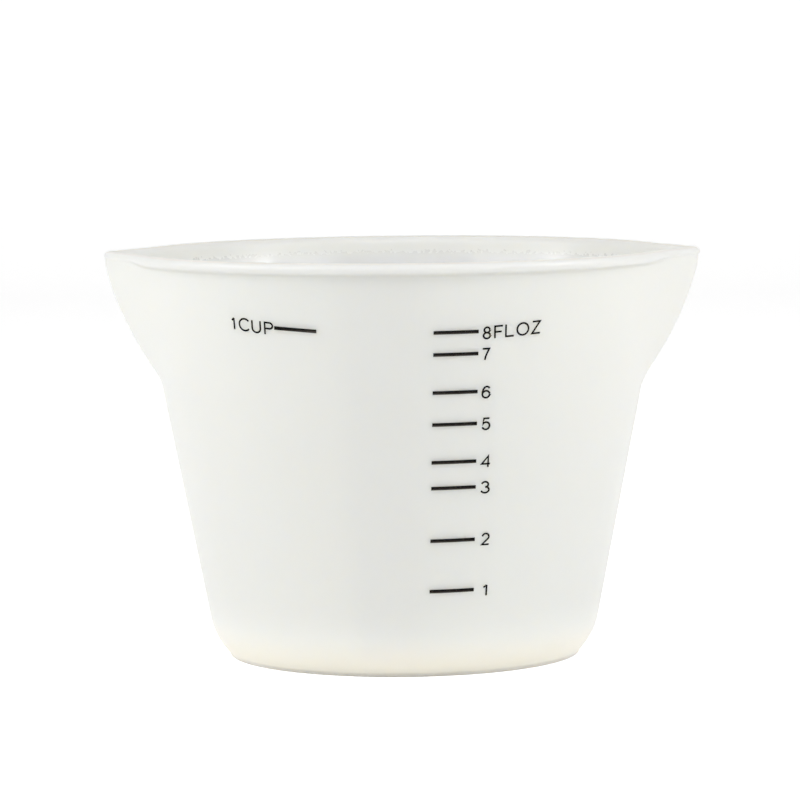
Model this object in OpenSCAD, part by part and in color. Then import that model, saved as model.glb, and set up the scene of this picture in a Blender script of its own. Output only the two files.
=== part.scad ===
// Resin mixing cup, in millimetres.
// A soft moulded body with a round bowl, a thick lip and two pouring spouts,
// and the printed bars of the scale on its front. The origin is at the middle
// of the foot, the spouts lie along X and the scale faces -Y.

/* [Bowl] */
// Height from the table to the top of the rim
cup_h = 70.8; // [66:0.1:80]
// Outer diameter of the straight wall where it reaches the rim
mouth_d = 93; // [88:0.1:98]
// Outer diameter of the straight wall if it ran on down to the table
base_d = 65.4; // [63:0.1:72]
// Thickness of the wall
wall_t = 2.2; // [1.6:0.1:2.8]
// Height of the inside floor above the table
floor_h = 3; // [2:0.1:6]
// Outer radius where the wall turns in to the foot
corner_r = 9; // [7:0.1:12]
// Inner radius between the wall and the floor
hollow_r = 6; // [3:0.1:9]

/* [Foot] */
// How far the foot stands in from the line of the wall
foot_in = 1.7; // [1.4:0.1:5]
// Height of the foot's upright side
foot_h = 0.5; // [0.4:0.1:1.5]
// Radius of the foot's lower edge
foot_edge_r = 0.3; // [0.1:0.05:0.35]
// Width of the ring that the cup stands on
foot_ring_w = 3; // [1.5:0.1:6]
// Depth of the recess inside that ring
recess_h = 0.6; // [0.3:0.1:1.2]

/* [Lip] */
// How far the lip stands out from the wall
lip_out = 1.5; // [0.8:0.1:2]
// Radius of the rolled lip in section
lip_r = 1.1; // [0.8:0.05:1.4]
// Radius of the inner edge of the rim
mouth_edge_r = 1.7; // [1:0.1:2]

/* [Spouts] */
// Distance from the cup's axis to the tip of a spout
spout_reach = 52.2; // [50.5:0.1:58]
// Height of a spout, from its toe on the wall to the rim
spout_h = 22.7; // [16:0.1:32]
// Radius of a spout's tip, seen from above
spout_tip_r = 3.6; // [3:0.1:5]
// Radius of the curve that runs down the ridge of a spout
ridge_r = 57; // [40:1:120]
// Height of the upright band round the top of a spout
band_h = 2.3; // [1.5:0.1:4]
// Radius of the outer edge on top of a spout
spout_edge_r = 0.9; // [0.4:0.05:1]
// Radius of the inner edge on top of a spout
channel_edge_r = 1.1; // [0.4:0.05:1.15]
// How gently the toe of a spout runs into the wall
toe_blend = 0.8; // [0.2:0.1:2]

/* [Scale] */
// From the rim down to the 8 ounce bar
ounce_8_drop = 11.6; // [9:0.1:14]
// From the 8 ounce bar down to the 7 ounce bar
ounce_7_drop = 3.7; // [2:0.1:6]
// From the 7 ounce bar down to the 6 ounce bar
ounce_6_drop = 6.4; // [2:0.1:8]
// From the 6 ounce bar down to the 5 ounce bar
ounce_5_drop = 5.4; // [2:0.1:8]
// From the 5 ounce bar down to the 4 ounce bar
ounce_4_drop = 6.4; // [2:0.1:8]
// From the 4 ounce bar down to the 3 ounce bar
ounce_3_drop = 4.4; // [2:0.1:8]
// From the 3 ounce bar down to the 2 ounce bar
ounce_2_drop = 9; // [2:0.1:10]
// From the 2 ounce bar down to the 1 ounce bar
ounce_1_drop = 8.7; // [2:0.1:10]
// From the 8 ounce bar up to the bar for one cup
cup_bar_rise = 0.5; // [-2:0.1:3]
// Length of a bar, along the wall
bar_l = 7.6; // [4:0.1:10]
// Height of a bar
bar_w = 0.6; // [0.4:0.05:1]
// Thickness of the ink
ink_t = 0.1; // [0.05:0.01:0.2]
// Clearance between the wall and the ink
ink_gap = 0.04; // [0.02:0.01:0.1]
// Turn from the front to the near end of the ounce bars, in degrees
ounce_turn = 8.8; // [4:0.1:20]
// Rise of the ounce bars towards the right, in degrees
ounce_tilt = 0.5; // [0:0.1:4]
// Turn from the front to the near end of the cup bar, in degrees
cup_turn = 16.5; // [10:0.1:24]
// Rise of the cup bar towards the left, in degrees
cup_tilt = 3.4; // [0:0.1:6]

/* [Hidden] */

silicone = [0.90, 0.90, 0.87];
ink = [0.08, 0.08, 0.09];

// Segments of full turns and of the small rounded edges
turn_fn = 120;
edge_fn = 48;
// Overlap of cuts past the faces that they open
cut = 1;
// Steps round a spout's tip and up its stack of outlines
tip_steps = 8;
toe_steps = 6;
ridge_steps = 14;
edge_steps = 5;
// Depth at which a spout starts under the wall's surface
root = 0.2;

ounce_drops = [ounce_1_drop, ounce_2_drop, ounce_3_drop, ounce_4_drop,
    ounce_5_drop, ounce_6_drop, ounce_7_drop, ounce_8_drop];

wall_slope = (mouth_d - base_d) / 2 / cup_h;
wall_lean = atan(wall_slope);
foot_r = base_d / 2 - foot_in;

// Radius of the wall's outer surface at height z, or of a surface inside it
function wall_r(z, inset = 0) = base_d / 2 + wall_slope * z - inset / cos(wall_lean);

// Centre of the arc that touches the wall and ends on the foot's top edge
corner_gap = wall_r(0, corner_r) - foot_r;
corner_half = corner_gap * wall_slope - foot_h;
corner_square = 1 + pow(wall_slope, 2);
corner_rest = pow(corner_gap, 2) + pow(foot_h, 2) - pow(corner_r, 2);
corner_z = (sqrt(pow(corner_half, 2) - corner_square * corner_rest) - corner_half) / corner_square;
corner_c = [wall_r(corner_z, corner_r), corner_z];

// Centres of the rounded inner corner, the rolled lip and the rim's inner edge
hollow_z = floor_h + hollow_r;
hollow_c = [wall_r(hollow_z, wall_t + hollow_r), hollow_z];
lip_c = [wall_r(cup_h) + lip_out - lip_r, cup_h - lip_r];
mouth_z = cup_h - mouth_edge_r;
mouth_c = [wall_r(mouth_z, wall_t - mouth_edge_r), mouth_z];

// Ridge of a spout: an arc from its toe on the wall up to the band
toe_z = cup_h - spout_h;
band_z = cup_h - band_h;
toe_p = [wall_r(toe_z), toe_z];
band_p = [spout_reach, band_z];
ridge_chord = norm(band_p - toe_p);
ridge_side = sqrt(pow(ridge_r, 2) - pow(ridge_chord / 2, 2));
ridge_c = (toe_p + band_p) / 2 + ridge_side / ridge_chord * [toe_z - band_z, spout_reach - toe_p[0]];
// How far below the toe the blend ends
toe_run = toe_blend / ((spout_reach - toe_p[0]) / (band_z - toe_z));

// Point where a circle beside a straight wall touches it
function touch_p(centre, r) = centre + r * [cos(wall_lean), -sin(wall_lean)];

// The larger of two lengths, with a smooth passage between them
function smooth_max(a, b, width) =
    max(a, b) + pow(max(0, width - abs(a - b)), 2) / (4 * width);

// Ridge of a spout at height z, for the surface that lies inset inside the outer one
function arc_r(z, inset) = ridge_c[0] + sqrt(pow(ridge_r - inset, 2) - pow(z - ridge_c[1], 2));
function ridge_at(z, inset) = z > band_z ? spout_reach - inset
    : smooth_max(min(arc_r(z, inset), spout_reach - inset), wall_r(z, inset + root / 2), toe_blend);

// How far a rounded edge of radius r under the top draws in at height z
function edge_in(z, r) =
    z > cup_h - r ? r - sqrt(max(0, pow(r, 2) - pow(min(z, cup_h) - cup_h + r, 2))) : 0;

// Outline of a spout at height z: two straight flanks from the round wall to a rounded tip
function spout_outline(z, inset, edge) =
    let (
        round_r = wall_r(z, inset + root) - edge,
        tip_r = spout_tip_r - inset - edge,
        tip_x = ridge_at(z, inset) - edge - tip_r,
        turn = acos((round_r - tip_r) / tip_x),
        side_x = round_r * cos(turn),
        side_y = round_r * sin(turn),
        tip = [for (i = [0:tip_steps]) let (a = turn * (1 - 2 * i / tip_steps))
            [tip_x + tip_r * cos(a), tip_r * sin(a), z]]
    )
    concat([[side_x, side_y, z]], tip, [[side_x, -side_y, z]]);

// Heights of a spout's outlines, close together where its section changes fast
function spout_heights(edge_r) = concat(
    [for (i = [-toe_steps:toe_steps - 1]) toe_z + toe_run * i / toe_steps],
    [for (i = [0:ridge_steps - 1]) let (start = toe_z + toe_run)
        start + (band_z - start) * i / ridge_steps],
    [band_z],
    [for (i = [0:edge_steps]) cup_h - edge_r + edge_r * sin(90 * i / edge_steps)]
);

// Solid through a stack of outlines that all have the same number of points.
// The two halves of an outline are split into triangles as mirror images.
module loft(rings) {
    n = len(rings[0]);
    m = len(rings);
    sides = [for (i = [0:m - 2], j = [0:n - 1]) let (a = i * n, b = a + n, k = (j + 1) % n)
        each j < n / 2 - 1 ? [[a + j, a + k, b + j], [a + k, b + k, b + j]]
            : [[a + j, a + k, b + k], [a + j, b + k, b + j]]];
    bottom = [for (j = [n - 1:-1:0]) j];
    top = [for (j = [0:n - 1]) (m - 1) * n + j];
    polyhedron([for (ring = rings) each ring], concat([bottom], sides, [top]));
}

// Half section of the solid body, without the foot and the lip
module wall_section() {
    intersection() {
        union() {
            polygon([[0, foot_h], [foot_r, foot_h], corner_c, touch_p(corner_c, corner_r),
                [wall_r(cup_h), cup_h], [0, cup_h]]);
            translate(corner_c) circle(corner_r, $fn = turn_fn);
        }
        translate([0, foot_h]) square([mouth_d, cup_h - foot_h]);
    }
}

// Half section of the foot, with its rounded lower edge
module foot_section() {
    edge_x = foot_r - foot_edge_r;
    square([edge_x, foot_h + cut]);
    translate([0, foot_edge_r]) square([foot_r, foot_h - foot_edge_r]);
    translate([edge_x, foot_edge_r]) circle(foot_edge_r, $fn = edge_fn);
}

// Half section of the rolled lip, filled back into the wall
module lip_section() {
    translate(lip_c) circle(lip_r, $fn = edge_fn);
    back = wall_r(cup_h, wall_t / 2);
    translate([back, lip_c[1]]) square([lip_c[0] - back, lip_r]);
}

// Half section of the hollow, flared by the rounded inner edge of the rim
module hollow_section() {
    over = cup_h + cut;
    inner_top = wall_r(over, wall_t);
    polygon([[0, floor_h], [hollow_c[0], floor_h], hollow_c, touch_p(hollow_c, hollow_r),
        [inner_top, over], [0, over]]);
    translate(hollow_c) circle(hollow_r, $fn = turn_fn);
    difference() {
        polygon([touch_p(mouth_c, -mouth_edge_r), mouth_c, [mouth_c[0], over], [inner_top - cut, over]]);
        translate(mouth_c) circle(mouth_edge_r, $fn = edge_fn);
    }
}

// Outer form of one spout
module spout_form() {
    loft([for (z = spout_heights(spout_edge_r)) spout_outline(z, 0, edge_in(z, spout_edge_r))]);
}

// Pouring channel inside one spout, open at the top
module spout_channel() {
    heights = concat(spout_heights(channel_edge_r), [cup_h + cut]);
    loft([for (z = heights) spout_outline(z, wall_t, -edge_in(z, channel_edge_r))]);
}

module cup_body() {
    color(silicone) difference() {
        union() {
            rotate(90) rotate_extrude($fn = turn_fn) {
                wall_section();
                foot_section();
                lip_section();
            }
            for (side = [0, 180]) rotate(side) spout_form();
        }
        rotate(90) rotate_extrude($fn = turn_fn) hollow_section();
        for (side = [0, 180]) rotate(side) spout_channel();
        translate([0, 0, -cut]) cylinder(recess_h + cut, r = foot_r - foot_ring_w, $fn = turn_fn);
    }
}

// Printed bar with its middle at height z, turned round the cup from the front and tilted
module bar(z, turn, tilt) {
    reach = bar_w + bar_l * sin(abs(tilt));
    low = z - reach;
    high = z + reach;
    color(ink) intersection() {
        rotate(90) rotate_extrude($fn = turn_fn) polygon([
            [wall_r(low, -ink_gap), low], [wall_r(low, -ink_gap - ink_t), low],
            [wall_r(high, -ink_gap - ink_t), high], [wall_r(high, -ink_gap), high]]);
        rotate(turn) translate([0, -wall_r(z), z]) rotate([0, -tilt, 0])
            cube([bar_l, wall_r(z), bar_w], center = true);
    }
}

// Turn of a bar's middle when its near end is turned by that many degrees
function middle_turn(z, near) = near + bar_l / 2 / wall_r(z) * 180 / PI;

// Height of the bar for that many ounces, counted down from the rim
function ounce_z(ounces) = ounces > 8 ? cup_h : ounce_z(ounces + 1) - ounce_drops[ounces - 1];

module ounce_bar(ounces) {
    z = ounce_z(ounces);
    bar(z, middle_turn(z, ounce_turn), ounce_tilt);
}

module ounce_bar_1() { ounce_bar(1); }
module ounce_bar_2() { ounce_bar(2); }
module ounce_bar_3() { ounce_bar(3); }
module ounce_bar_4() { ounce_bar(4); }
module ounce_bar_5() { ounce_bar(5); }
module ounce_bar_6() { ounce_bar(6); }
module ounce_bar_7() { ounce_bar(7); }
module ounce_bar_8() { ounce_bar(8); }

module cup_bar() {
    z = ounce_z(8) + cup_bar_rise;
    bar(z, -middle_turn(z, cup_turn), -cup_tilt);
}

cup_body();
ounce_bar_1();
ounce_bar_2();
ounce_bar_3();
ounce_bar_4();
ounce_bar_5();
ounce_bar_6();
ounce_bar_7();
ounce_bar_8();
cup_bar();
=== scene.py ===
"""Resin mixing cup: a soft moulded cup with two pouring spouts and a printed scale."""

import math

import bmesh
import bpy
from bpy.props import FloatProperty, FloatVectorProperty, IntProperty, PointerProperty
from bpy.types import Operator, Panel, PropertyGroup
from mathutils import Matrix, Vector


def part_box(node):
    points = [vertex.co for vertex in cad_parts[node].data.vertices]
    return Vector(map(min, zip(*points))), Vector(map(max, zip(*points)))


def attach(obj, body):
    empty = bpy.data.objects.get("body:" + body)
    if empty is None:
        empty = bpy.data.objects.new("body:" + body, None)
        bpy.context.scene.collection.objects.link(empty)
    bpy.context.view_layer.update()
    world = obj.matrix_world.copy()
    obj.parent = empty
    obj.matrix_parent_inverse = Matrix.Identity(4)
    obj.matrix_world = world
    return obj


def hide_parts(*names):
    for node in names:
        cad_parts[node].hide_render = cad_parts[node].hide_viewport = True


bl_info = {
    "name": "Resin Mixing Cup",
    "version": (1, 0, 0),
    "blender": (4, 5, 0),
    "location": "3D View > Sidebar > Mixing Cup",
    "description": "Builds a soft mixing cup with two pouring spouts and a printed scale",
    "category": "Add Mesh",
}

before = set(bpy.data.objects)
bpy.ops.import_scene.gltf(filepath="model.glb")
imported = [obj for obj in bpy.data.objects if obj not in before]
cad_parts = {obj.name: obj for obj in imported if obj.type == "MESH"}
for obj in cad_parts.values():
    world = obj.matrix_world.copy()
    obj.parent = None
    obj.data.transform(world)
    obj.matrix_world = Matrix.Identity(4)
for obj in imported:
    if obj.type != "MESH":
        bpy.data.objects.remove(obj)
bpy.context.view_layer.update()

MM = 0.001
MERGE = 1e-7  # points closer than this become one
TOE_ROWS = 3.5 * MM  # the rows of faces lie closer together this far above and below a spout's toe
BELOW_TOE = 6 * MM  # the wall keeps its own section from this far below a spout's toe
RIM_ZONE = 12 * MM  # in this much of the wall the rows shift to the height of a spout's own rim
RIM_SHARE = 0.9  # share of the height above which the arcs of the rim lie
BAND_BLEND = 0.6 * MM  # how gently a spout's ridge runs into the upright band
ON_ARC = 1e-5  # a point this close to an arc belongs to it
SPOUT_TURN = 27  # degrees from a ridge at which a spout's own section ends
SPOUT_FADE = 15  # degrees over which it fades out before that


def length(name, description, default, **more):
    """A size in metres, given here in millimetres."""
    return FloatProperty(
        name=name, description=description, default=default * MM, unit="LENGTH", precision=4, **more
    )


def colour(name, description, default):
    return FloatVectorProperty(
        name=name, description=description, default=default, subtype="COLOR", min=0, max=1
    )


def strength(name, description, default, **more):
    return FloatProperty(name=name, description=description, default=default, min=0, **more)


class CupForm(PropertyGroup):
    """Sizes of the moulded cup"""

    height: length("Height", "From the table to the top of the rim", 70.8)
    mouth_width: length("Mouth width", "Outer width of the straight wall at the rim", 93)
    base_width: length("Base width", "Outer width of the straight wall, run on to the table", 65.4)
    wall: length("Wall", "Thickness of the wall", 2.2)
    floor: length("Floor", "Height of the inside floor", 3)
    corner: length("Corner", "Outer radius between the wall and the foot", 12)
    hollow: length("Hollow", "Inner radius between the wall and the floor", 6)
    foot_in: length("Foot inset", "How far the foot stands in from the line of the wall", 2)
    foot_height: length("Foot height", "Height of the foot's upright side", 0.5)
    foot_edge: length("Foot edge", "Radius of the foot's lower edge", 0.3)
    foot_ring: length("Foot ring", "Width of the ring that the cup stands on", 3)
    recess: length("Recess", "Depth of the recess inside that ring", 0.6)
    lip_out: length("Lip", "How far the lip stands out from the wall", 1.1)
    lip_radius: length("Lip radius", "Radius of the rolled lip in section", 0.95)
    mouth_edge: length("Mouth edge", "Radius of the rim's inner edge", 1.7)
    reach: length("Spout reach", "From the cup's axis to the tip of a spout", 52.2)
    spout_height: length("Spout height", "From a spout's toe on the wall to the rim", 22.7)
    tip_radius: length("Tip radius", "Radius of a spout's tip, seen from above", 3.6)
    ridge: length("Ridge", "Radius of the curve down a spout's ridge", 57)
    band: length("Band", "Height of the upright band round the top of a spout", 2.3)
    toe_blend: length("Toe blend", "How gently a spout's toe runs into the wall", 1.4)
    spout_lip: length("Spout lip", "How far the thinner lip stands out on a spout", 0.3)
    spout_lip_height: length("Spout lip height", "Height of that thinner lip", 1.5)
    spout_edge: length("Spout edge", "Radius of the outer edge on top of a spout", 0.9)
    channel_edge: length("Channel edge", "Radius of the inner edge on top of a spout", 1.2)
    turns: IntProperty(name="Turns", description="Steps round the cup", default=384, min=48)
    crowding: FloatProperty(
        name="Crowding", description="How much closer the steps lie at the spouts", default=0.8,
        min=0, max=0.95,
    )


class PrintForm(PropertyGroup):
    """Sizes of the printed numerals and unit words"""

    letter_height: length("Letter height", "Height of the printed numerals", 2.22)
    word_height: length("Word height", "Height of the printed unit words", 2.33)
    stroke: length("Stroke", "Width of a printed stroke", 0.3)
    film: length("Film", "Thickness of the ink", 0.05)
    sink: length("Sink", "How far the ink lies in the wall's surface", 0.015)


class Finishes(PropertyGroup):
    """Colours of the silicone and the ink, with painted reflection, shade and glow on the silicone
    """

    silicone: colour("Silicone", "Milky silicone", (0.9, 0.9, 0.838))
    silicone_cloud: colour("Silicone cloud", "Cooler parts of the silicone", (0.882, 0.889, 0.835))
    # Painted shade and painted cool reflection: the inner side darker and cooler than the outer
    inside_painted_shade: colour("Inner side", "Cooler tint on the inner side", (0.842, 0.847, 0.84))
    # Painted dark reflection: a duller, cooler streak down the front and the back
    front_painted_reflection: colour("Front streak", "Duller streak down the front", (0.87, 0.874, 0.83))
    # A darker, warmer line along the top of the rim
    silicone_crest: colour("Crest", "Stained line along the top of the rim", (0.875, 0.84, 0.765))
    # Thick silicone's warmer tint with a painted glow that brightens the foot
    base_tint_and_glow: colour("Thick silicone", "Warmer tint where it is thick", (0.97, 0.885, 0.77))
    dust: colour("Dust", "Specks of dust on the silicone", (0.33, 0.31, 0.27))
    ink: colour("Ink", "Full ink", (0.002, 0.002, 0.002))
    # Grey ink for the pale flecks and for the lower side of each bar
    ink_grey: colour("Thin ink", "Ink that printed thinly", (0.05, 0.044, 0.037))
    paper: colour("Paper", "Floor and backdrop", (0.94, 0.94, 0.94))


class StageForm(PropertyGroup):
    """Lamps and sky"""

    sky: strength("Sky", "Strength of the light from all round", 0.26)
    left: strength("Left lamp", "Power of the lamp on the left", 2.48, unit="POWER")
    right: strength("Right lamp", "Power of the lamp on the right", 2.24, unit="POWER")
    core: strength("Lamp cores", "Power of the bright part of each side lamp", 0.85, unit="POWER")
    top: strength("Top lamp", "Power of the lamp above", 1.4, unit="POWER")


def props():
    return bpy.context.scene.mixing_cup


# The wall and its spouts as numbers

def wall_slope(cup):
    return (cup.mouth_width - cup.base_width) / 2 / cup.height


def wall_radius(cup, z, inset=0.0):
    """Radius at height z of the wall's outer face, or of a face that lies inset inside it."""
    slope = wall_slope(cup)
    return cup.base_width / 2 + slope * z - inset * math.hypot(1, slope)


def soft_max(a, b, width):
    """The larger of two lengths, with a smooth passage between them."""
    return max(a, b) + max(0.0, width - abs(a - b)) ** 2 / (4 * width)


def ease(t):
    t = min(1.0, max(0.0, t))
    return t * t * (3 - 2 * t)


def ridge_radius(cup, z, inset):
    """Distance from the axis to the ridge of a spout at height z."""
    reach = cup.reach - cup.spout_lip
    toe = Vector((wall_radius(cup, cup.height - cup.spout_height), cup.height - cup.spout_height))
    top = Vector((reach, cup.height - cup.band))
    chord = (top - toe).length
    side = math.sqrt(cup.ridge ** 2 - (chord / 2) ** 2) / chord
    centre = (toe + top) / 2 + side * Vector((toe.y - top.y, top.x - toe.x))
    rise = min(z, top.y) - centre.y
    arc = centre.x + math.sqrt((cup.ridge - inset) ** 2 - rise ** 2)
    arc = -soft_max(-arc, inset - reach, BAND_BLEND)
    return soft_max(arc, wall_radius(cup, z, inset), cup.toe_blend)


def outline_radius(cup, turn, z, inset):
    """Radius at height z, turned from a spout's ridge: round wall, straight flank or round tip."""
    round_r = wall_radius(cup, z, inset)
    tip_r = cup.tip_radius - inset
    tip_x = ridge_radius(cup, z, inset) - tip_r
    if tip_x + tip_r <= round_r + MERGE:
        return round_r
    flank = math.acos((round_r - tip_r) / tip_x)
    turn = abs(turn)
    if turn >= flank:
        return round_r
    tip_end = math.atan2(tip_r * math.sin(flank), tip_x + tip_r * math.cos(flank))
    if turn > tip_end:
        return round_r / math.cos(flank - turn)
    return tip_x * math.cos(turn) + math.sqrt(tip_r ** 2 - (tip_x * math.sin(turn)) ** 2)


def points_of(geometry):
    return [v for v in geometry if isinstance(v, bmesh.types.BMVert)]


# Pen for sections: a point that leaves a line of edges behind it

def line_to(bm, point, x, z, rows):
    """Draws a straight line from the pen's point, in rows, and returns its new point."""
    step = (Vector((x, 0, z)) - point.co) / rows
    for _ in range(rows):
        point = bmesh.ops.extrude_vert_indiv(bm, verts=[point])["verts"][0]
        bmesh.ops.translate(bm, verts=[point], vec=step)
    return point


def arc_round(bm, point, x, z, turn, rows):
    """Draws an arc round a centre, anticlockwise seen from the front, and returns its new point."""
    swept = bmesh.ops.spin(
        bm, geom=[point], cent=(x, 0, z), axis=(0, 1, 0), angle=-turn, steps=rows,
        use_duplicate=False,
    )
    return points_of(swept["geom_last"])[0]


def new_piece(name, bm, material):
    """Makes a smooth shaded object at the origin from a bmesh."""
    mesh = bpy.data.meshes.new(name)
    bm.to_mesh(mesh)
    bm.free()
    mesh.shade_smooth()
    mesh.materials.append(material)
    piece = bpy.data.objects.new(name, mesh)
    bpy.context.scene.collection.objects.link(piece)
    return piece


# Cup body

def corner_centre(cup):
    """Centre of the arc that touches the wall and ends on the foot's top edge."""
    slope = wall_slope(cup)
    gap = wall_radius(cup, 0, cup.corner) - (cup.base_width / 2 - cup.foot_in)
    half = gap * slope - cup.foot_height
    square = 1 + slope ** 2
    rest = gap ** 2 + cup.foot_height ** 2 - cup.corner ** 2
    z = (math.sqrt(half ** 2 - square * rest) - half) / square
    return Vector((wall_radius(cup, z, cup.corner), z))


def lip_centre(cup):
    x = wall_radius(cup, cup.height) + cup.lip_out - cup.lip_radius
    return Vector((x, cup.height - cup.lip_radius))


def mouth_centre(cup):
    z = cup.height - cup.mouth_edge
    return Vector((wall_radius(cup, z, cup.wall - cup.mouth_edge), z))


def lip_end(cup):
    """Where the lip's arc comes back to the wall, as an angle below the level."""
    slope = wall_slope(cup)
    centre = lip_centre(cup)
    gap = (centre.x - wall_radius(cup, centre.y)) / math.hypot(1, slope)
    return math.pi - math.acos(gap / cup.lip_radius) + math.atan(slope)


def draw_section(bm, cup):
    """Draws half the cup's section, from the middle of the inside floor to that of the foot."""
    lean = math.atan(wall_slope(cup))
    toe = cup.height - cup.spout_height
    above, below = toe + TOE_ROWS, toe - TOE_ROWS
    hollow_z = cup.floor + cup.hollow
    hollow_x = wall_radius(cup, hollow_z, cup.wall + cup.hollow)
    mouth, lip, corner = mouth_centre(cup), lip_centre(cup), corner_centre(cup)
    foot_x = cup.base_width / 2 - cup.foot_in

    point = bm.verts.new((0, 0, cup.floor))
    point = line_to(bm, point, hollow_x, cup.floor, 10)
    point = arc_round(bm, point, hollow_x, hollow_z, math.pi / 2 - lean, 12)
    point = line_to(bm, point, wall_radius(cup, below, cup.wall), below, 16)
    point = line_to(bm, point, wall_radius(cup, above, cup.wall), above, 10)
    touch = mouth + cup.mouth_edge * Vector((-math.cos(lean), math.sin(lean)))
    point = line_to(bm, point, touch.x, touch.y, 22)
    point = arc_round(bm, point, mouth.x, mouth.y, lean - math.pi / 2, 9)
    point = line_to(bm, point, lip.x, cup.height, 3)
    point = arc_round(bm, point, lip.x, lip.y, -math.pi / 2 - lip_end(cup), 20)
    point = line_to(bm, point, wall_radius(cup, above), above, 24)
    point = line_to(bm, point, wall_radius(cup, below), below, 10)
    touch = corner + cup.corner * Vector((math.cos(lean), -math.sin(lean)))
    point = line_to(bm, point, touch.x, touch.y, 16)
    end = math.atan2(corner.y - cup.foot_height, foot_x - corner.x)
    point = arc_round(bm, point, corner.x, corner.y, lean - end, 12)
    point = line_to(bm, point, foot_x, cup.foot_edge, 2)
    point = arc_round(bm, point, foot_x - cup.foot_edge, cup.foot_edge, -math.pi / 2, 5)
    ring_x = foot_x - cup.foot_ring
    point = line_to(bm, point, ring_x, 0, 3)
    point = line_to(bm, point, ring_x, cup.recess, 2)
    line_to(bm, point, 0, cup.recess, 10)


def spout_section_point(cup, x, z):
    """Where a point of the bowl's section lies in a spout's section, as an inset and a height."""
    stretch = math.hypot(1, wall_slope(cup))
    inset = (wall_radius(cup, z) - x) / stretch
    lip, mouth = lip_centre(cup), mouth_centre(cup)
    top = cup.height
    from_lip = Vector((x, z)) - lip
    from_mouth = Vector((x, z)) - mouth
    high = z > RIM_SHARE * top
    outer = x > lip.x - ON_ARC / 10 or inset < ON_ARC / 10
    if high and outer and abs(from_lip.length - cup.lip_radius) < ON_ARC:
        angle = math.atan2(from_lip.y, from_lip.x)
        if angle > 0:
            out = cup.spout_lip - cup.spout_edge * (1 - math.cos(angle))
            return -out, top - cup.spout_edge * (1 - math.sin(angle))
        share = min(1.0, -angle / lip_end(cup))
        out = cup.spout_lip * (1 + math.cos(math.pi * share)) / 2
        return -out, top - cup.spout_edge - share * (cup.spout_lip_height - cup.spout_edge)
    if abs(z - top) < MERGE and mouth.x < x < lip.x:
        share = (x - mouth.x) / (lip.x - mouth.x)
        start, end = cup.wall - cup.channel_edge, cup.spout_edge - cup.spout_lip
        return start + share * (end - start), top
    if high and abs(from_mouth.length - cup.mouth_edge) < ON_ARC:
        lean = math.atan(wall_slope(cup))
        angle = math.atan2(from_mouth.y, -from_mouth.x)
        share = (angle - lean) / (math.pi / 2 - lean) * math.pi / 2
        inner = cup.wall - cup.channel_edge * (1 - math.cos(share))
        return inner, top - cup.channel_edge * (1 - math.sin(share))
    start = top - RIM_ZONE
    if z > start:
        if inset > cup.wall / 2:
            bowl_end = mouth.y + cup.mouth_edge * math.sin(math.atan(wall_slope(cup)))
            spout_end = top - cup.channel_edge
        else:
            bowl_end = lip.y - cup.lip_radius * math.sin(lip_end(cup))
            spout_end = top - cup.spout_lip_height
        z = start + (z - start) * (spout_end - start) / (bowl_end - start)
    return inset, z


def shape_spouts(bm, cup, inset_layer, height_layer):
    """Crowds the steps round the cup at the spouts, and pulls the wall and lip out to them."""
    stretch = math.hypot(1, wall_slope(cup))
    lowest = cup.height - cup.spout_height - BELOW_TOE
    for v in bm.verts:
        radius = math.hypot(v.co.x, v.co.y)
        if radius < MERGE:
            continue
        side = 0 if v.co.x >= 0 else math.pi
        turn = math.atan2(v.co.y, v.co.x) - side
        turn = math.atan2(math.sin(turn), math.cos(turn))
        turn -= cup.crowding / 2 * math.sin(2 * turn)
        z = v.co.z
        if z > lowest:
            inset = (wall_radius(cup, z) - radius) / stretch
            near = ease((SPOUT_TURN - math.degrees(abs(turn))) / SPOUT_FADE)
            inset += near * (v[inset_layer] - inset)
            z += near * (v[height_layer] - z)
            radius = outline_radius(cup, turn, z, inset)
        v.co = (radius * math.cos(turn + side), radius * math.sin(turn + side), z)


class MIXINGCUP_OT_body(Operator):
    """Models the moulded cup with its rolled lip and two pouring spouts"""

    bl_idname = "mixingcup.body"
    bl_label = "Cup Body"

    def execute(self, context):
        cup = props().cup
        bm = bmesh.new()
        inset_layer = bm.verts.layers.float.new("spout_inset")
        height_layer = bm.verts.layers.float.new("spout_height")
        draw_section(bm, cup)
        for v in bm.verts:
            v[inset_layer], v[height_layer] = spout_section_point(cup, v.co.x, v.co.z)
        bmesh.ops.spin(
            bm, geom=bm.verts[:] + bm.edges[:], axis=(0, 0, 1), angle=2 * math.pi, steps=cup.turns,
            use_merge=True,
        )
        bmesh.ops.remove_doubles(bm, verts=bm.verts[:], dist=MERGE)
        shape_spouts(bm, cup, inset_layer, height_layer)
        bm.verts.layers.float.remove(bm.verts.layers.float["spout_inset"])
        bm.verts.layers.float.remove(bm.verts.layers.float["spout_height"])
        bmesh.ops.recalc_face_normals(bm, faces=bm.faces[:])
        body = new_piece("cup_shell", bm, silicone_material())
        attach(body, "root")
        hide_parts("cup_body")
        return {"FINISHED"}


# Printed numerals and unit words

def bow(x, y, half_width, half_height, start, end, rows=14):
    """Points along an oval arc, angles in degrees, anticlockwise from the right."""
    return [
        (x + half_width * math.cos(math.radians(start + (end - start) * i / rows)),
         y + half_height * math.sin(math.radians(start + (end - start) * i / rows)))
        for i in range(rows + 1)
    ]


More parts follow.
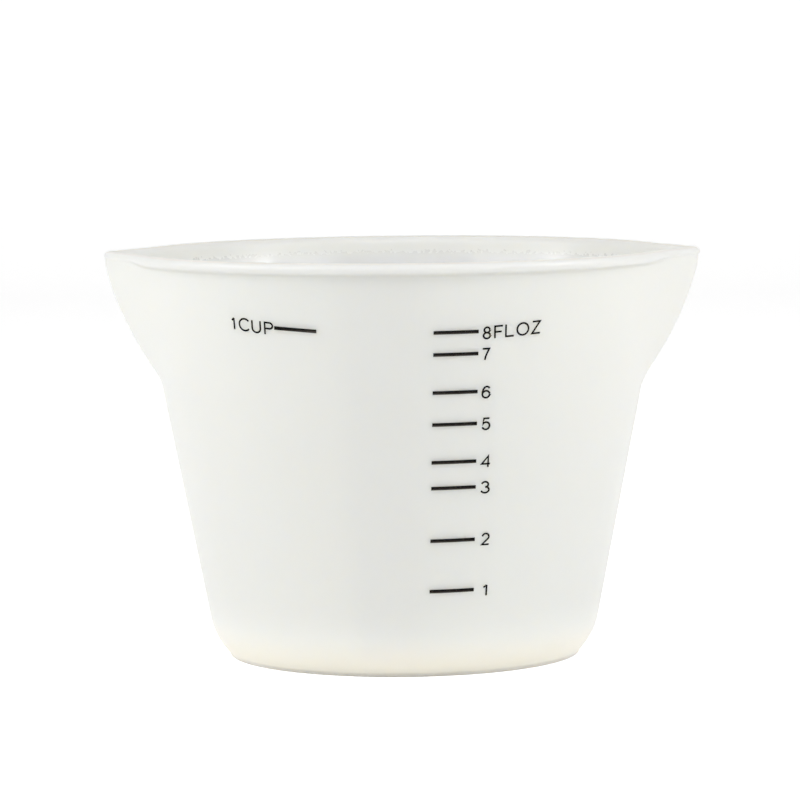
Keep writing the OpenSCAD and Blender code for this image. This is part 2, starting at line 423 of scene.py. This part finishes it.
# Strokes of each letter in a square one unit wide and high
LETTERS = {
    "1": [[(0, 0.76), (0.5, 0.84), (0.95, 0.96)], [(1, 0.96), (1, 0)]],
    "2": [bow(0.5, 0.71, 0.47, 0.29, 172, -38) + [(0, 0), (1, 0)]],
    "3": [bow(0.47, 0.755, 0.42, 0.245, 165, -85), bow(0.5, 0.27, 0.5, 0.27, 88, -165)],
    "4": [[(0.76, 0), (0.76, 1), (0, 0.3), (1, 0.3)]],
    "5": [[(0.92, 1), (0.2, 1), (0.08, 0.5)] + bow(0.49, 0.33, 0.5, 0.33, 142, -160)],
    "6": [bow(0.5, 0.31, 0.5, 0.31, 0, 360, 24), bow(0.58, 0.42, 0.57, 0.58, 48, 186)],
    "7": [[(0, 1), (1, 1), (0.7, 0.62), (0.48, 0.3), (0.38, 0)]],
    "8": [bow(0.5, 0.76, 0.42, 0.24, 0, 360, 24), bow(0.5, 0.265, 0.5, 0.265, 0, 360, 24)],
    "F": [[(0, 0), (0, 1), (1, 1)], [(0, 0.52), (0.86, 0.52)]],
    "L": [[(0, 1), (0, 0), (1, 0)]],
    "O": [bow(0.5, 0.5, 0.5, 0.5, 0, 360, 28)],
    "Z": [[(0.04, 1), (0.96, 1), (0, 0), (1, 0)]],
    "C": [bow(0.52, 0.5, 0.52, 0.5, 42, 318, 24)],
    "U": [[(0, 1)] + bow(0.5, 0.34, 0.5, 0.34, 180, 360) + [(1, 1)]],
    "P": [[(0, 0), (0, 1)] + bow(0.6, 0.75, 0.4, 0.25, 90, -90) + [(0, 0.5)]],
}

# Each line of print: which height its letters have, the rise of its writing in degrees, and for
# each letter its middle's turn from the front in degrees, its middle's height and its width in
# millimetres
PRINT_LINES = {
    "ounce_numerals": ("letter_height", 0.8, [
        ("8", 20.56, 58.94, 1.47), ("7", 20.58, 55.36, 1.44), ("6", 21.16, 48.97, 1.58),
        ("5", 21.62, 43.59, 1.61), ("4", 22.20, 37.17, 1.78), ("3", 22.42, 32.78, 1.70),
        ("2", 23.45, 23.88, 1.54), ("1", 24.27, 15.04, 0.86),
    ]),
    "ounce_words": ("word_height", 3.1, [
        ("F", 23.28, 59.04, 1.70), ("L", 25.84, 59.27, 1.75), ("O", 28.94, 59.37, 2.42),
        ("Z", 32.21, 59.55, 1.85),
    ]),
    "cup_words": ("word_height", -4.3, [
        ("1", -37.08, 60.47, 0.75), ("C", -33.98, 60.29, 2.44), ("U", -30.91, 60.05, 1.92),
        ("P", -27.78, 59.76, 1.78),
    ]),
}


SHARPEST_MITRE = 0.45  # cosine of half the turn at which a mitre stops growing
OVERLAP = 0.002 * MM  # each further stroke of a letter stands this much prouder than the one before


def draw_stroke(bm, points, width):
    """Draws a flat ribbon of even width along points, with mitred corners."""
    closed = math.dist(points[0], points[-1]) < MERGE
    line = [bm.verts.new((x, y, 0)) for x, y in points]
    edges = [bm.edges.new(pair) for pair in zip(line, line[1:])]
    swept = bmesh.ops.extrude_edge_only(bm, edges=edges)["geom"]
    other = {v.co.copy().freeze(): v for v in points_of(swept)}
    count = len(points)
    for i, v in enumerate(line):
        before = points[i - 1] if i else points[-2] if closed else points[0]
        after = points[i + 1] if i < count - 1 else points[1] if closed else points[-1]
        here = Vector(points[i])
        into = (here - Vector(before)).normalized()
        out = (Vector(after) - here).normalized()
        into = into if into.length else out
        out = out if out.length else into
        side = into + out
        side = Vector((-side.y, side.x)).normalized()
        reach = width / 2 / max(SHARPEST_MITRE, side.dot(Vector((-into.y, into.x))))
        twin = other[v.co.copy().freeze()]
        v.co += Vector((side.x, side.y, 0)) * reach
        twin.co -= Vector((side.x, side.y, 0)) * reach


def bend_round(cup, verts, turn, height):
    """Bends flat print round the wall, with its middle turned from the front and at a height."""
    slope = wall_slope(cup)
    stretch = math.hypot(1, slope)
    for v in verts:
        z = height + v.co.y / stretch
        radius = wall_radius(cup, z) + v.co.z * stretch
        angle = math.radians(turn) + v.co.x / wall_radius(cup, height)
        v.co = (radius * math.sin(angle), -radius * math.cos(angle), z)


def stroke_mesh(stroke, size, order, rise, turn, height):
    """One stroke of a letter as a thin film that is bent round the wall."""
    cup, ink = props().cup, props().ink
    part = bmesh.new()
    wide, tall = size[0] - ink.stroke, size[1] - ink.stroke
    points = [((x - 0.5) * wide, (y - 0.5) * tall) for x, y in stroke]
    draw_stroke(part, points, ink.stroke)
    bmesh.ops.remove_doubles(part, verts=part.verts[:], dist=MERGE)
    bmesh.ops.recalc_face_normals(part, faces=part.faces[:])
    if part.faces[0].normal.z < 0:
        bmesh.ops.reverse_faces(part, faces=part.faces[:])
    raised = points_of(bmesh.ops.extrude_face_region(part, geom=part.faces[:])["geom"])
    bmesh.ops.translate(part, verts=part.verts[:], vec=(0, 0, -ink.sink))
    bmesh.ops.translate(part, verts=raised, vec=(0, 0, ink.film + order * OVERLAP))
    bmesh.ops.rotate(part, verts=part.verts[:], matrix=Matrix.Rotation(rise, 3, "Z"))
    bend_round(cup, part.verts, turn, height)
    bmesh.ops.recalc_face_normals(part, faces=part.faces[:])
    mesh = bpy.data.meshes.new("stroke")
    part.to_mesh(mesh)
    part.free()
    return mesh


class MIXINGCUP_OT_print(Operator):
    """Prints the plain numerals and unit words beside the bars"""

    bl_idname = "mixingcup.print"
    bl_label = "Printed Numerals"

    def execute(self, context):
        material = ink_material()
        for name, (height_key, rise, letters) in PRINT_LINES.items():
            bm = bmesh.new()
            for letter, turn, height, width in letters:
                for order, stroke in enumerate(LETTERS[letter]):
                    size = (width * MM, getattr(props().ink, height_key))
                    mesh = stroke_mesh(stroke, size, order, math.radians(rise), turn, height * MM)
                    bm.from_mesh(mesh)
                    bpy.data.meshes.remove(mesh)
            piece = new_piece(name, bm, material)
            piece.data.shade_flat()
            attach(piece, "root")
        return {"FINISHED"}


class MIXINGCUP_OT_bars(Operator):
    """Gives the printed bars their ink"""

    bl_idname = "mixingcup.bars"
    bl_label = "Printed Bars"

    def execute(self, context):
        for name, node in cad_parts.items():
            if name != "cup_body":
                low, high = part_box(name)
                node.data.materials.clear()
                node.data.materials.append(bar_material(name, low, high))
        return {"FINISHED"}


# Materials

# Heights above the table, or below the rim, where the silicone's looks change
# Height up to which the foot's warm tint and painted glow reach
THICK_AND_GLOW_END = 8 * MM
CLEAR_START, CLEAR_END = 2 * MM, 12 * MM
INNER_BELOW_RIM, INNER_FADE_BELOW_RIM = 5 * MM, 1.5 * MM
CREST_BELOW_RIM, CREST_FULL_BELOW_RIM = 0.28 * MM, 0.1 * MM

FACING_SPAN = 20 * MM  # radius times cosine to the axis, from which a face is wholly inner
# Where the painted dark reflection streak lies, sideways from the front and the back
STREAK_MIDDLE, STREAK_FULL, STREAK_END = 0.046, 0.08, 0.24  # metres sideways per metre forward
NOISE_LOW, NOISE_HIGH = 0.3, 0.7  # nearly all of a noise lies between these
DUST_SCALE = 95  # cells in a metre, some of which hold a speck
DUST_CORE, DUST_RIM = 0.018, 0.03  # radii of a speck, as shares of a cell
DUST_FEW, DUST_SURE, DUST_STRENGTH = 0.93, 0.94, 0.6  # share of cells left out, and a speck's tint
GREY_LOW, GREY_HIGH = 0.22 * MM, 0.02 * MM  # where a bar turns greyer, below and above its middle
OUTER_ROUGH, INNER_ROUGH = (0.3, 0.4), (0.1, 0.13)  # least and most roughness
OUTER_GLOSS, INNER_GLOSS = 0.5, 0.75
PAPER_GLOW = 0.62  # what the paper adds to the light that falls on it, to read as white


def new_material(name):
    material = bpy.data.materials.new(name)
    material.use_nodes = True
    tree = material.node_tree
    return material, tree, tree.nodes["Principled BSDF"]


def add(tree, kind, **settings):
    """Adds a node. Settings with an underscore first are sockets, the rest are the node's own."""
    node = tree.nodes.new(kind)
    for key, value in settings.items():
        if key.startswith("_"):
            node.inputs[key[1:].replace("_", " ")].default_value = value
        else:
            setattr(node, key, value)
    return node


def spread(tree, factor, low, high, start, end):
    """Maps a factor from low..high to start..end, smoothly."""
    node = add(tree, "ShaderNodeMapRange", interpolation_type="SMOOTHSTEP")
    for socket, value in zip(("From Min", "From Max", "To Min", "To Max"), (low, high, start, end)):
        node.inputs[socket].default_value = value
    tree.links.new(factor, node.inputs["Value"])
    return node.outputs["Result"]


def calc(tree, operation, first, second=None):
    """One sum on a socket and, where given, a second socket or number."""
    node = add(tree, "ShaderNodeMath", operation=operation)
    tree.links.new(first, node.inputs[0])
    if isinstance(second, bpy.types.NodeSocket):
        tree.links.new(second, node.inputs[1])
    elif second is not None:
        node.inputs[1].default_value = second
    return node.outputs[0]


def mix_colour(tree, factor, first, second):
    """Mixes two colours, each a value or a socket."""
    node = add(tree, "ShaderNodeMix", data_type="RGBA")
    tree.links.new(factor, node.inputs["Factor"])
    for socket, value in ((node.inputs[6], first), (node.inputs[7], second)):
        if isinstance(value, bpy.types.NodeSocket):
            tree.links.new(value, socket)
        else:
            socket.default_value = (*value, 1)
    return node.outputs[2]


def noise(tree, place, scale, detail):
    """Noise between 0 and 1, with about as many patches in a metre as the scale says."""
    node = add(tree, "ShaderNodeTexNoise", _Scale=scale, _Detail=detail)
    tree.links.new(place, node.inputs["Vector"])
    return node.outputs["Fac"]


def spot(tree):
    """The point on the piece in metres, and its parts along X, Y and Z."""
    place = add(tree, "ShaderNodeTexCoord").outputs["Object"]
    split = add(tree, "ShaderNodeSeparateXYZ")
    tree.links.new(place, split.inputs[0])
    return place, split.outputs["X"], split.outputs["Y"], split.outputs["Z"]


def inner_side(tree, place):
    """One on surfaces that face the cup's axis, zero on those that face away from it."""
    level = add(tree, "ShaderNodeVectorMath", operation="MULTIPLY")
    tree.links.new(place, level.inputs[0])
    level.inputs[1].default_value = (1, 1, 0)
    facing = add(tree, "ShaderNodeVectorMath", operation="DOT_PRODUCT")
    tree.links.new(level.outputs["Vector"], facing.inputs[0])
    tree.links.new(add(tree, "ShaderNodeTexCoord").outputs["Normal"], facing.inputs[1])
    return spread(tree, facing.outputs["Value"], -FACING_SPAN, 0, 1, 0)


def silicone_colour_and_painted_light(tree, inside):
    """Cloudy silicone with a painted reflection streak, painted shade inside, a darker rim top, a
    warm foot with painted glow and a few specks of dust.
    """
    look = props().finishes
    rim = props().cup.height
    place, x, y, z = spot(tree)
    cloud = spread(tree, noise(tree, place, 28, 3), 0.35, NOISE_HIGH, 0, 1)
    tint = mix_colour(tree, cloud, look.silicone, look.silicone_cloud)

    # Painted dark reflection: the silicone duller and cooler in a streak down the front and the
    # back
    off = calc(tree, "SUBTRACT", calc(tree, "DIVIDE", x, y), STREAK_MIDDLE)
    streak = spread(tree, calc(tree, "ABSOLUTE", off), STREAK_FULL, STREAK_END, 1, 0)
    tint = mix_colour(tree, streak, tint, look.front_painted_reflection)
    # Painted shade: the inner side, below the rim, darker and cooler
    tint = mix_colour(tree, inside, tint, look.inside_painted_shade)
    # A darker, warmer line along the top of the rim
    crest = spread(tree, z, rim - CREST_BELOW_RIM, rim - CREST_FULL_BELOW_RIM, 0, 1)
    tint = mix_colour(tree, crest, tint, look.silicone_crest)
    # Warmer, brighter foot: thick silicone's tint with a painted glow, fading out upwards
    tint = mix_colour(tree, spread(tree, z, 0, THICK_AND_GLOW_END, 1, 0), tint, look.base_tint_and_glow)

    specks = add(tree, "ShaderNodeTexVoronoi", _Scale=DUST_SCALE)
    tree.links.new(place, specks.inputs["Vector"])
    near = spread(tree, specks.outputs["Distance"], DUST_CORE, DUST_RIM, 1, 0)
    pick = add(tree, "ShaderNodeSeparateColor")
    tree.links.new(specks.outputs["Color"], pick.inputs[0])
    few = spread(tree, pick.outputs[0], DUST_FEW, DUST_SURE, 0, DUST_STRENGTH)
    return mix_colour(tree, calc(tree, "MULTIPLY", near, few), tint, look.dust)


def silicone_material():
    """Milky satin silicone, glossier on the inside, which lets a little light through."""
    material, tree, shader = new_material("milky_silicone")
    place, _, _, z = spot(tree)
    rim = props().cup.height
    below = spread(tree, z, rim - INNER_BELOW_RIM, rim - INNER_FADE_BELOW_RIM, 1, 0)
    inside = calc(tree, "MULTIPLY", inner_side(tree, place), below)
    tree.links.new(silicone_colour_and_painted_light(tree, inside), shader.inputs["Base Color"])

    grain = noise(tree, place, 1400, 2)
    sway = noise(tree, place, 22, 1)
    rough = add(tree, "ShaderNodeMix")
    tree.links.new(inside, rough.inputs["Factor"])
    for side, span in (("A", OUTER_ROUGH), ("B", INNER_ROUGH)):
        tree.links.new(spread(tree, grain, NOISE_LOW, NOISE_HIGH, *span), rough.inputs[side])
    tree.links.new(rough.outputs["Result"], shader.inputs["Roughness"])
    gloss = spread(tree, inside, 0, 1, OUTER_GLOSS, INNER_GLOSS)
    tree.links.new(gloss, shader.inputs["Specular IOR Level"])
    soft = add(tree, "ShaderNodeBump", _Strength=0.5, _Distance=0.5 * MM)
    fine = add(tree, "ShaderNodeBump", _Strength=0.12, _Distance=0.02 * MM)
    tree.links.new(sway, soft.inputs["Height"])
    tree.links.new(grain, fine.inputs["Height"])
    tree.links.new(soft.outputs["Normal"], fine.inputs["Normal"])
    tree.links.new(fine.outputs["Normal"], shader.inputs["Normal"])

    shader.inputs["IOR"].default_value = 1.41
    clear = spread(tree, z, CLEAR_START, CLEAR_END, 0, 0.1)
    tree.links.new(clear, shader.inputs["Transmission Weight"])
    shader.inputs["Subsurface Weight"].default_value = 1.0
    shader.inputs["Subsurface Radius"].default_value = (1.0, 0.94, 0.82)
    shader.inputs["Subsurface Scale"].default_value = 4 * MM
    return material


def ink_shader(material, tree, shader, grey_share):
    """Matt black ink, greyer where the grey share is one, with tiny pale flecks."""
    look = props().finishes
    fleck = noise(tree, spot(tree)[0], 5200, 2)
    patch = spread(tree, fleck, 0.5, 0.72, 0, 1)
    if grey_share is not None:
        patch = calc(tree, "MAXIMUM", grey_share, patch)
    tree.links.new(mix_colour(tree, patch, look.ink, look.ink_grey), shader.inputs["Base Color"])
    matt = spread(tree, fleck, NOISE_LOW, NOISE_HIGH, 0.5, 0.7)
    tree.links.new(matt, shader.inputs["Roughness"])
    shader.inputs["Specular IOR Level"].default_value = 0.05
    rough = add(tree, "ShaderNodeBump", _Strength=0.2, _Distance=0.01 * MM)
    tree.links.new(fleck, rough.inputs["Height"])
    tree.links.new(rough.outputs["Normal"], shader.inputs["Normal"])
    return material


def ink_material():
    return ink_shader(*new_material("scale_ink"), None)


def bar_material(name, low, high):
    """Ink of one printed bar, greyer along its lower side."""
    material, tree, shader = new_material(name + "_ink")
    middle = (low.z + high.z) / 2
    lower_grey = spread(tree, spot(tree)[3], middle - GREY_LOW, middle + GREY_HIGH, 1, 0)
    return ink_shader(material, tree, shader, lower_grey)


def paper_material():
    """Pale paper that reads white to the camera and still shows the cup's shadow."""
    material, tree, shader = new_material("white_paper")
    pale = props().finishes.paper
    fibre = spread(tree, noise(tree, spot(tree)[0], 900, 2), NOISE_LOW, NOISE_HIGH, 0, 1)
    tint = mix_colour(tree, fibre, pale, [part * 0.99 for part in pale])
    tree.links.new(tint, shader.inputs["Base Color"])
    shader.inputs["Roughness"].default_value = 0.9
    shader.inputs["Specular IOR Level"].default_value = 0.0
    tree.links.new(seen(tree, PAPER_GLOW), shader.inputs["Emission Strength"])
    shader.inputs["Emission Color"].default_value = (1, 1, 1, 1)
    return material


def seen(tree, amount):
    """An amount for rays from the camera, or by way of gloss or glass, and none for the rest."""
    path = add(tree, "ShaderNodeLightPath")
    total = path.outputs["Is Camera Ray"]
    for kind in ("Is Glossy Ray", "Is Transmission Ray"):
        total = calc(tree, "MAXIMUM", total, path.outputs[kind])
    return calc(tree, "MULTIPLY", total, amount)


# Stage. Its sizes are in metres.

# The paper's width, its front edge, where it starts to bend up, that bend's radius and its top
PAPER_WIDE, PAPER_FRONT, PAPER_BACK, PAPER_BEND, PAPER_TOP = 3.2, -1.6, 1.0, 0.4, 2.0
AIM = (0, 0, 0.04)

# Each lamp's place, its width and height, and the setting with its power
LAMPS = {
    "left_softbox": ((-0.636, -0.338, 0.38), (0.76, 0.45), "left"),
    "left_core": ((-0.691, -0.134, 0.38), (0.11, 0.45), "core"),
    "right_softbox": ((0.632, -0.301, 0.38), (0.76, 0.45), "right"),
    "right_core": ((0.671, -0.2, 0.38), (0.11, 0.45), "core"),
    "top_softbox": ((0.0, -0.5, 0.6), (0.8, 0.5), "top"),
}

# The camera's place, its turn, tilt and roll in degrees, and its lens in millimetres
CAMERA_PLACE = (0.02605, -0.73458, 0.1091)
CAMERA_TURNS = ((2.065, "Z"), (84.961, "X"), (-0.587, "Z"))
LENS, SENSOR = 189.66, 36


def add_lamp(name, place, size, power):
    """Hangs a softbox that shines at the middle of the cup."""
    lamp = bpy.data.lights.new(name, "AREA")
    lamp.shape = "RECTANGLE"
    lamp.size, lamp.size_y = size
    lamp.energy = power
    holder = bpy.data.objects.new(name, lamp)
    holder.location = place
    holder.rotation_euler = (Vector(AIM) - Vector(place)).to_track_quat("-Z", "Y").to_euler()
    bpy.context.scene.collection.objects.link(holder)


def add_camera():
    """Places the camera where the photograph was taken from."""
    view = bpy.data.cameras.new("photo_camera")
    view.sensor_width = SENSOR
    view.lens = LENS
    view.clip_start = 0.01
    holder = bpy.data.objects.new("photo_camera", view)
    pose = Matrix.Translation(CAMERA_PLACE)
    for degrees, axis in CAMERA_TURNS:
        pose = pose @ Matrix.Rotation(math.radians(degrees), 4, axis)
    holder.matrix_world = pose
    bpy.context.scene.collection.objects.link(holder)
    bpy.context.scene.camera = holder


class MIXINGCUP_OT_stage(Operator):
    """Sets the white floor and backdrop, the lamps and the camera"""

    bl_idname = "mixingcup.stage"
    bl_label = "Stage"

    def execute(self, context):
        stage = props().stage
        scene = context.scene
        bm = bmesh.new()
        point = bm.verts.new((PAPER_FRONT, 0, 0))
        point = line_to(bm, point, PAPER_BACK, 0, 1)
        point = arc_round(bm, point, PAPER_BACK, PAPER_BEND, math.pi / 2, 24)
        line_to(bm, point, PAPER_BACK + PAPER_BEND, PAPER_TOP, 1)
        bmesh.ops.rotate(bm, verts=bm.verts[:], matrix=Matrix.Rotation(math.pi / 2, 3, "Z"))
        bmesh.ops.translate(bm, verts=bm.verts[:], vec=(-PAPER_WIDE / 2, 0, 0))
        across = points_of(bmesh.ops.extrude_edge_only(bm, edges=bm.edges[:])["geom"])
        bmesh.ops.translate(bm, verts=across, vec=(PAPER_WIDE, 0, 0))
        new_piece("backdrop", bm, paper_material())

        world = bpy.data.worlds.new("studio")
        scene.world = world
        world.use_nodes = True
        tree = world.node_tree
        light = tree.nodes["Background"]
        light.inputs["Color"].default_value = (1, 1, 1, 1)
        show = add(tree, "ShaderNodeMapRange")
        show.inputs["To Min"].default_value = stage.sky
        show.inputs["To Max"].default_value = 1.0
        tree.links.new(seen(tree, 1.0), show.inputs["Value"])
        tree.links.new(show.outputs["Result"], light.inputs["Strength"])

        for name, (place, size, power) in LAMPS.items():
            add_lamp(name, place, size, getattr(stage, power))
        add_camera()
        scene.view_settings.view_transform = "Standard"
        return {"FINISHED"}


class MixingCupProps(PropertyGroup):
    """All settings of the mixing cup"""

    cup: PointerProperty(type=CupForm)
    ink: PointerProperty(type=PrintForm)
    finishes: PointerProperty(type=Finishes)
    stage: PointerProperty(type=StageForm)


STEPS = (MIXINGCUP_OT_body, MIXINGCUP_OT_print, MIXINGCUP_OT_bars, MIXINGCUP_OT_stage)


class MIXINGCUP_PT_panel(Panel):
    bl_idname = "MIXINGCUP_PT_panel"
    bl_label = "Mixing Cup"
    bl_space_type = "VIEW_3D"
    bl_region_type = "UI"
    bl_category = "Mixing Cup"

    def draw(self, context):
        for step in STEPS:
            self.layout.operator(step.bl_idname)
        for group in (props().cup, props().ink, props().finishes, props().stage):
            box = self.layout.box()
            for key in group.__annotations__:
                box.prop(group, key)


CLASSES = (CupForm, PrintForm, Finishes, StageForm, MixingCupProps, *STEPS, MIXINGCUP_PT_panel)


def register():
    for cls in CLASSES:
        bpy.utils.register_class(cls)
    bpy.types.Scene.mixing_cup = PointerProperty(type=MixingCupProps)


def unregister():
    del bpy.types.Scene.mixing_cup
    for cls in reversed(CLASSES):
        bpy.utils.unregister_class(cls)


def main():
    register()
    bpy.ops.mixingcup.body()
    bpy.ops.mixingcup.print()
    bpy.ops.mixingcup.bars()
    bpy.ops.mixingcup.stage()


if __name__ == "__main__":
    main()
